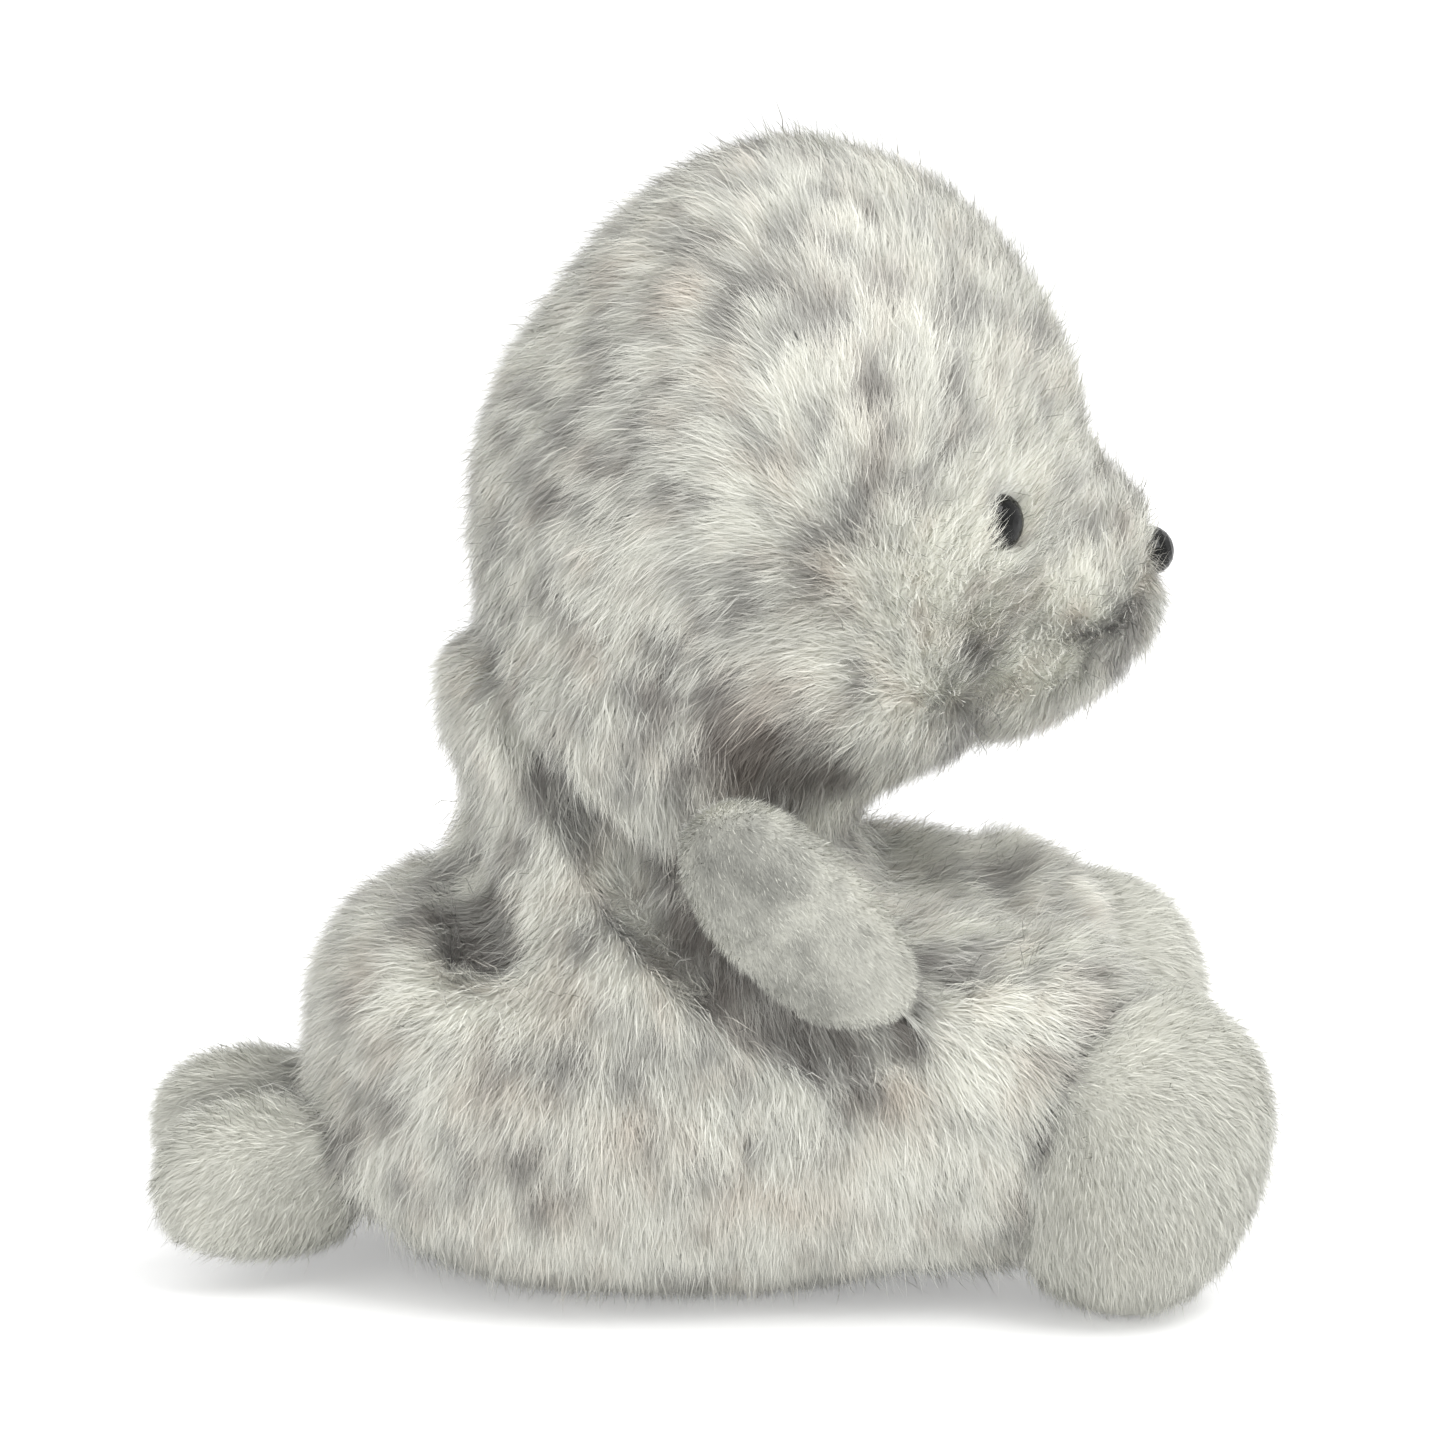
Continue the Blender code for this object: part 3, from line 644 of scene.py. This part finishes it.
def prepareFur():
    # The whole plush's fur: where it is sewn, its ways, its tones and its tufts
    points, normals = meshArrays(pelt)
    owner, gap = solidGaps(points)
    owner = evenOwners(owner)
    kinds = np.array([kindOf(softNodes[k]) for k in owner])
    creased = points.copy()
    for kind in creaseRows:
        chosen = kinds == kind
        creased[chosen] -= normals[chosen] * creaseFields(kind, points[chosen])[0][:, None]
    moveTo(pelt, creased)
    points, normals = meshArrays(pelt)
    fur = {"outer": points, "normals": normals, "lay": np.zeros_like(points)}
    for kind in pileOf:
        chosen = kinds == kind
        fur["lay"][chosen] = layField(kind, points[chosen], normals[chosen])
        laid = settle(kind, points[chosen], gap[chosen])
        for key, values in laid.items():
            fur.setdefault(key, np.zeros(len(points)))[chosen] = values
    fur["roots"] = points - normals * fur["depth"][:, None]
    pelt.calc_loop_triangles()
    corners = np.empty(len(pelt.loop_triangles) * 3, np.int32)
    pelt.loop_triangles.foreach_get("vertices", corners)
    faces = np.empty(len(pelt.loop_triangles), np.int32)
    pelt.loop_triangles.foreach_get("polygon_index", faces)
    fur["corners"] = corners.reshape(-1, 3)
    fur["faceOwner"] = [np.bincount(owner[list(face.vertices)]).argmax() for face in pelt.polygons]
    fur["owner"] = np.array(fur["faceOwner"])[faces]
    a, b, c = (points[fur["corners"][:, k]] for k in range(3))
    fur["area"] = np.linalg.norm(np.cross(b - a, c - a), axis=1) / 2
    fur["middle"] = (a + b + c) / 3
    # Few strands where the seat and the feet rest on the floor, and none under the buttons
    facing = normals[fur["corners"]].mean(axis=1)[:, 2]
    under = (fur["middle"][:, 2] < resting["height"] * mm) & (facing < resting["facing"])
    fur["area"][under] *= resting["share"]
    for top, axis, look in buttons.values():
        far = aroundAxis(fur["middle"], top, axis)[2]
        fur["area"][(far < look["clear"] * mm) & besideButton(fur["middle"], top)] = 0
    tufts = int(fur["area"].sum() / (longPile["tuft"] * mm) ** 2)
    fur["finder"] = KDTree(tufts)
    for k, chosen in enumerate(dice.permutation(len(points))[:tufts]):
        fur["finder"].insert(points[chosen], k)
    fur["finder"].balance()
    fur["leaders"] = {"turn": dice.normal(0, strands["tuftTurn"], tufts),
                      "raised": dice.normal(0, strands["tuftRaised"], tufts),
                      "grown": 1 + dice.normal(0, strands["tuftLength"], tufts)}
    report("fur laid on", len(points), "points")
    return fur


fur = prepareFur()


def growFibres(chosen, kind, pile):
    # Roots, ways and tips of one kind of fibre, sewn through the chosen triangles
    corners = fur["corners"][chosen]
    area = fur["area"][chosen]
    count = int(area.sum() / mm ** 2 * pile[kind])
    total = np.cumsum(area)
    # Evenly spread steps along the summed area, the last of them still inside the last triangle
    steps = (np.arange(count) + dice.random(count)) / count * total[-1] * 0.999999
    pick = np.searchsorted(total, steps)
    one, two = dice.random(count), dice.random(count)
    flip = one + two > 1
    one, two = np.where(flip, 1 - one, one), np.where(flip, 1 - two, two)
    share = np.stack([1 - one - two, one, two], axis=1)

    def spread(key):
        values = fur[key][corners[pick]]
        return (values * (share[..., None] if values.ndim == 3 else share)).sum(axis=1)

    root, outer, up, lay = spread("roots"), spread("outer"), unit(spread("normals")), spread("lay")
    lay = unit(lay - up * (lay * up).sum(axis=1, keepdims=True))

    # Neighbouring fibres lean together, as tufts, and a few strays stand out
    leaders = fur["leaders"]
    tuft = np.array([fur["finder"].find(place)[1] for place in outer])
    swing = leaders["turn"][tuft] + dice.normal(0, strands["turn"], count)
    raised = leaders["raised"][tuft] + dice.normal(0, strands["raised"], count)
    length = pile["length"] * mm * leaders["grown"][tuft] * spread("grown")
    length *= np.clip(1 + dice.normal(0, strands["length"], count), *strands["lengthRange"])
    if kind == "guard":
        stray = dice.random(count) < strands["strayShare"]
        raised[stray] += strands["strayRaised"]
        length[stray] *= strands["strayLength"]
    lay = lay * np.cos(swing)[:, None] + np.cross(up, lay) * np.sin(swing)[:, None]
    sewn = root - up * strands["sewnIn"] * mm

    def reached(start, angle, step):
        angle = np.radians(angle) + raised
        return start + step[:, None] * (lay * np.cos(angle)[:, None] + up * np.sin(angle)[:, None])

    if kind == "guard":
        middle = reached(sewn, pile["lift"], length / 2)
        spots = [sewn, middle, reached(middle, pile["lay"], length / 2)]
    else:
        spots = [sewn, reached(sewn, pile["lean"], length * strands["underLength"])]

    # Nothing hangs over a button or under the floor: fibres are pushed aside, and cut where they would cross
    for top, axis, look in buttons.values():
        clear = look["clear"] * mm
        low, high = (edge * mm for edge in cleared["height"])
        for spot in spots[1:]:
            height, flat, far = aroundAxis(spot, top, axis)
            hit = (far < clear) & (height > low) & (height < high)
            spot[hit] += flat[hit] / far[hit][:, None] * (clear - far[hit])[:, None]
        height, flat, far = aroundAxis((spots[-2] + spots[-1]) / 2, top, axis)
        hit = (far < clear) & (height > low) & (height < high)
        spots[-1][hit] = spots[-2][hit] + cleared["left"] * (spots[-1] - spots[-2])[hit]
    for spot in spots:
        spot[:, 2] = np.maximum(spot[:, 2], cleared["floor"] * mm)

    # Each is a flat ribbon or blade, shaded much like the fabric under it
    way = unit(spots[-1] - sewn)
    side = unit(np.cross(way, up))
    roll = dice.uniform(-strands["roll"], strands["roll"], count)
    side = side * np.cos(roll)[:, None] + np.cross(way, side) * np.sin(roll)[:, None]
    side *= np.sign((np.cross(side, way) * up).sum(axis=1))[:, None]
    half = side * (pile[kind + "Width"] * mm / 2 * dice.uniform(*strands["widthRange"], count))[:, None]
    soft = unit(up + np.cross(side, way) * strands["curl"] + way * strands["droop"])
    bend = side * strands["curl"]
    if kind == "guard":
        foot = half * strands["rootWidth"]
        points = [sewn - foot, sewn + foot, spots[1] - half, spots[1] + half, spots[2]]
        shine = [soft - bend, soft + bend, soft - bend, soft + bend, soft]
        along = [0, 0, 0.4, 0.4, 1.0]
        pattern, starts = [0, 1, 3, 2, 2, 3, 4], [0, 4]
    else:
        points = [sewn - half, sewn + half, spots[1]]
        shine = [soft - bend, soft + bend, soft]
        along = [0, 0, 1.0]
        pattern, starts = [0, 1, 2], [0]
    size = len(points)
    # The painted glints and painted gap shade grow from nothing at the root to full at the tip
    usual = shades["under"]
    shade = usual + np.array(along) * (fibreShade(kind, pile, count) - usual)[:, None]
    order = np.arange(count)[:, None]
    return {
        "points": np.stack(points, axis=1).reshape(-1, 3),
        "shine": np.stack(shine, axis=1).reshape(-1, 3),
        "rootPlace": np.repeat(outer, size, axis=0),
        "tone": np.repeat(spread("tone"), size),
        "warmth": np.repeat(spread("warmth"), size),
        "shade": shade.ravel(),
        "along": np.tile(along, count),
        "loops": (order * size + np.array([pattern])).ravel(),
        "starts": (order * len(pattern) + np.array([starts])).ravel(),
    }


def makePile(name, chosen, pile, material):
    # One mesh of guard fibres and the finer fibres under them
    guard, under = growFibres(chosen, "guard", pile), growFibres(chosen, "under", pile)
    under["starts"] = under["starts"] + len(guard["loops"])
    under["loops"] = under["loops"] + len(guard["points"])
    both = {key: np.concatenate([guard[key], under[key]]) for key in guard}
    mesh = bpy.data.meshes.new(name)
    mesh.vertices.add(len(both["points"]))
    mesh.vertices.foreach_set("co", both["points"].astype(np.float32).ravel())
    mesh.loops.add(len(both["loops"]))
    mesh.loops.foreach_set("vertex_index", both["loops"].astype(np.int32))
    mesh.polygons.add(len(both["starts"]))
    mesh.polygons.foreach_set("loop_start", both["starts"].astype(np.int32))
    mesh.update(calc_edges=True)
    mesh.shade_smooth()
    mesh.normals_split_custom_set_from_vertices(unit(both["shine"]))
    setAttribute(mesh, "rootPlace", "FLOAT_VECTOR", both["rootPlace"])
    for key in ("tone", "warmth", "shade", "along"):
        setAttribute(mesh, key, "FLOAT", both[key])
    mesh.materials.append(material)
    piece = linked(bpy.data.objects.new(name, mesh))
    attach(piece, "root")
    report("pile", name, len(both["loops"]) - 2 * len(both["starts"]), "triangles")


toneSpan = 1.3  # tones from -1.3 to 1.3 go over the whole range of colours


def furMaterial(name, look):
    # Pile coloured by its tone, one tone to a strand, from where the strand is sewn in: dye blotches with
    # painted shade, and painted glints by the shade of each fibre
    material, tree = newMaterial(name)
    place, tone, warmth, shade, along = (addNode(tree, "ShaderNodeAttribute", {"attribute_name": key})
                                         for key in ("rootPlace", "tone", "warmth", "shade", "along"))
    blotch = addNode(tree, "ShaderNodeTexNoise", links={"Vector": (place, "Vector")},
                     inputs={"Scale": 1 / (look["blotch"] * mm), "Detail": 3, "Roughness": 0.6})
    blotchRange = addNode(tree, "ShaderNodeMapRange", links={"Value": (blotch, 0)},
                          inputs={"From Min": 0.33, "From Max": 0.67, "To Min": -1, "To Max": 1})
    toned = addNode(tree, "ShaderNodeMath", {"operation": "MULTIPLY_ADD"}, {1: look["blotchShare"]},
                    {0: (blotchRange, 0), 2: (tone, "Fac")})
    spread = addNode(tree, "ShaderNodeMath", {"operation": "MULTIPLY_ADD"}, {1: look["strandShare"]},
                     {0: (shade, "Fac"), 2: (toned, 0)})
    middle = look["strandShare"] / 2
    step = addNode(tree, "ShaderNodeMapRange", links={"Value": (spread, 0)},
                   inputs={"From Min": middle - toneSpan, "From Max": middle + toneSpan})
    ramp = addNode(tree, "ShaderNodeValToRGB", links={"Fac": (step, 0)})
    ramp.color_ramp.interpolation = "EASE"
    while len(ramp.color_ramp.elements) < len(look["colours"]):
        ramp.color_ramp.elements.new(0.5)
    for element, (stop, colour) in zip(ramp.color_ramp.elements, look["colours"]):
        element.position = stop
        element.color = linear(colour)
    warmNoise = addNode(tree, "ShaderNodeTexNoise", links={"Vector": (place, "Vector")},
                        inputs={"Scale": 1 / (look["warmBlotch"] * mm), "Detail": 2})
    warmRange = addNode(tree, "ShaderNodeMapRange", links={"Value": (warmNoise, 0)},
                        inputs={"From Min": 0.5, "From Max": 0.7, "To Max": look["warmNoise"]})
    warmSum = addNode(tree, "ShaderNodeMath", {"operation": "MULTIPLY_ADD", "use_clamp": True},
                      {1: look["warmShare"]}, {0: (warmth, "Fac"), 2: (warmRange, 0)})
    warmed = addNode(tree, "ShaderNodeMix", {"data_type": "RGBA", "blend_type": "MULTIPLY"},
                     {7: linear(look["warmColour"])}, {0: (warmSum, 0), 6: (ramp, 0)})
    # Painted shade: each fibre is darker towards its root, for the shade deep in the pile
    paintedRootShade = addNode(tree, "ShaderNodeMapRange", inputs={"To Min": look["paintedRootShade"], "To Max": 1.0},
                        links={"Value": (along, "Fac")})
    final = addNode(tree, "ShaderNodeVectorMath", {"operation": "SCALE"},
                    links={0: (warmed, 2), "Scale": (paintedRootShade, 0)})
    surface = addNode(tree, "ShaderNodeBsdfPrincipled", links={"Base Color": (final, 0)},
                      inputs={"Roughness": look["roughness"], "Specular IOR Level": look["specular"],
                              "Sheen Weight": look["sheen"], "Sheen Roughness": 0.4})
    addNode(tree, "ShaderNodeOutputMaterial", links={"Surface": (surface, 0)})
    return material


# Acrylic pile, dyed in small soft blotches, with painted shade in its tone: matt from afar, with a fine glint
# at the tips, partly specular and partly painted into the guard fibres' colour
acrylicPileFur = furMaterial("acrylicPileFur", {
    "blotch": 4.4, "blotchShare": 0.85, "strandShare": 0.35, "warmBlotch": 5, "warmNoise": 0.4,
    "warmShare": 0.6, "warmColour": "#E5D8D1", "paintedRootShade": 0.93,
    "colours": [(0.0, "#8E8B86"), (0.25, "#B7B6B0"), (0.5, "#E3E3DA"), (0.72, "#F5F5EB"),
                (1.0, "#FEFEF4")],
    "roughness": 0.5, "specular": 0.4, "sheen": 0.4,
})
# Short polyester pile in one plain colour, which looks velvety
polyesterVelour = furMaterial("polyesterVelour", {
    "blotch": 5, "blotchShare": 0.3, "strandShare": 0.8, "warmBlotch": 12, "warmNoise": 0.1,
    "warmShare": 0.5, "warmColour": "#EDE6DF", "paintedRootShade": 0.9,
    "colours": [(0.0, "#A4A49D"), (0.45, "#E0E0D6"), (1.0, "#FBFBF0")],
    "roughness": 0.6, "specular": 0.3, "sheen": 0.3,
})

for node in softNodes:
    if node in ("head", "body"):
        makeSkin(node, acrylicPileFur)
    else:
        makeSkin(node, polyesterVelour)

for node in softNodes:
    mine = np.flatnonzero(fur["owner"] == softNodes.index(node))
    if node not in ("head", "body"):
        makePile(node + "_pile", mine, pileOf[kindOf(node)], polyesterVelour)
        continue
    # Two meshes of about the same size
    order = mine[np.argsort(fur["middle"][mine, 1])]
    half = np.searchsorted(np.cumsum(fur["area"][order]), fur["area"][order].sum() / 2)
    for part, chosen in (("front", order[:half]), ("back", order[half:])):
        makePile(f"{node}_pile_{part}", chosen, longPile, acrylicPileFur)


def plasticMaterial(name, look):
    # Smooth plastic, a little unevenly polished
    material, tree = newMaterial(name)
    place = addNode(tree, "ShaderNodeTexCoord")
    noise = addNode(tree, "ShaderNodeTexNoise", inputs={"Scale": 1 / (look["grain"] * mm), "Detail": 3},
                    links={"Vector": (place, "Object")})
    low, high = look["roughness"]
    roughness = addNode(tree, "ShaderNodeMapRange", inputs={"To Min": low, "To Max": high},
                        links={"Value": (noise, 0)})
    surface = addNode(tree, "ShaderNodeBsdfPrincipled", links={"Roughness": (roughness, 0)},
                      inputs={"Base Color": linear(look["colour"]),
                              "Specular IOR Level": look["specular"]})
    addNode(tree, "ShaderNodeOutputMaterial", links={"Surface": (surface, 0)})
    return material


# Injection moulded ABS, polished: near black, with highlights that show the room
polishedPlastic = plasticMaterial("polishedPlastic", {
    "colour": "#0B0C0B", "specular": 0.25, "grain": 0.8, "roughness": (0.06, 0.16),
})
# Moulded washers inside the head: plain white, satin
mouldedPlastic = plasticMaterial("mouldedPlastic", {
    "colour": "#E8E8E6", "specular": 0.5, "grain": 0.5, "roughness": (0.4, 0.6),
})
for node in ("eye_right", "eye_left", "nose", "eye_washer_right", "eye_washer_left", "nose_washer"):
    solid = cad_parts[node].data
    solid.materials.clear()
    solid.materials.append(mouldedPlastic if "washer" in node else polishedPlastic)

# A white studio: soft light from all round, one large lamp above the seal's face and a weak one behind
studio = {
    "key": 6.5, "keyPlace": (-0.5, -0.45, 0.95), "keySize": 0.7,
    "fill": 1.5, "fillPlace": (-0.9, 0.5, 0.45), "fillSize": 0.8,
    "world": 1.0, "floorGlow": 0.3, "floorSize": 4, "floorColour": "#F4F4F4",
}
world = bpy.data.worlds.new("studio")
bpy.context.scene.world = world
world.use_nodes = True
world.node_tree.nodes.clear()
tree = world.node_tree
path = addNode(tree, "ShaderNodeLightPath")
seen = addNode(tree, "ShaderNodeMath", {"operation": "MAXIMUM"},
               links={0: (path, "Is Camera Ray"), 1: (path, "Is Glossy Ray")})
seenAll = addNode(tree, "ShaderNodeMath", {"operation": "MAXIMUM"},
                  links={0: (seen, 0), 1: (path, "Is Transmission Ray")})
strength = addNode(tree, "ShaderNodeMapRange", inputs={"To Min": studio["world"], "To Max": 1.0},
                   links={"Value": (seenAll, 0)})
background = addNode(tree, "ShaderNodeBackground", inputs={"Color": (1, 1, 1, 1)},
                     links={"Strength": (strength, 0)})
addNode(tree, "ShaderNodeOutputWorld", links={"Surface": (background, 0)})


def addLamp(name):
    data = bpy.data.lights.new(name, "AREA")
    data.energy = studio[name]
    data.shape = "DISK"
    data.size = studio[name + "Size"]
    lamp = linked(bpy.data.objects.new(name, data))
    lamp.location = studio[name + "Place"]
    lamp.rotation_euler = (Vector(view["aim"]) - lamp.location).to_track_quat("-Z", "Y").to_euler()


addLamp("key")
addLamp("fill")

reach = studio["floorSize"] / 2
floorMesh = bpy.data.meshes.new("floor")
floorMesh.from_pydata([(-reach, -reach, 0), (reach, -reach, 0), (reach, reach, 0), (-reach, reach, 0)],
                      [], [(0, 1, 2, 3)])
floor = linked(bpy.data.objects.new("floor", floorMesh))
floorMaterial, tree = newMaterial("paintedFloor")
path = addNode(tree, "ShaderNodeLightPath")
glow = addNode(tree, "ShaderNodeMapRange", inputs={"To Max": studio["floorGlow"]},
               links={"Value": (path, "Is Camera Ray")})
surface = addNode(tree, "ShaderNodeBsdfPrincipled", links={"Emission Strength": (glow, 0)},
                  inputs={"Base Color": linear(studio["floorColour"]), "Roughness": 0.9,
                          "Specular IOR Level": 0.1, "Emission Color": (1, 1, 1, 1)})
addNode(tree, "ShaderNodeOutputMaterial", links={"Surface": (surface, 0)})
floorMesh.materials.append(floorMaterial)
bpy.context.scene.view_settings.view_transform = "Standard"

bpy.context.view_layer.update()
report("made")
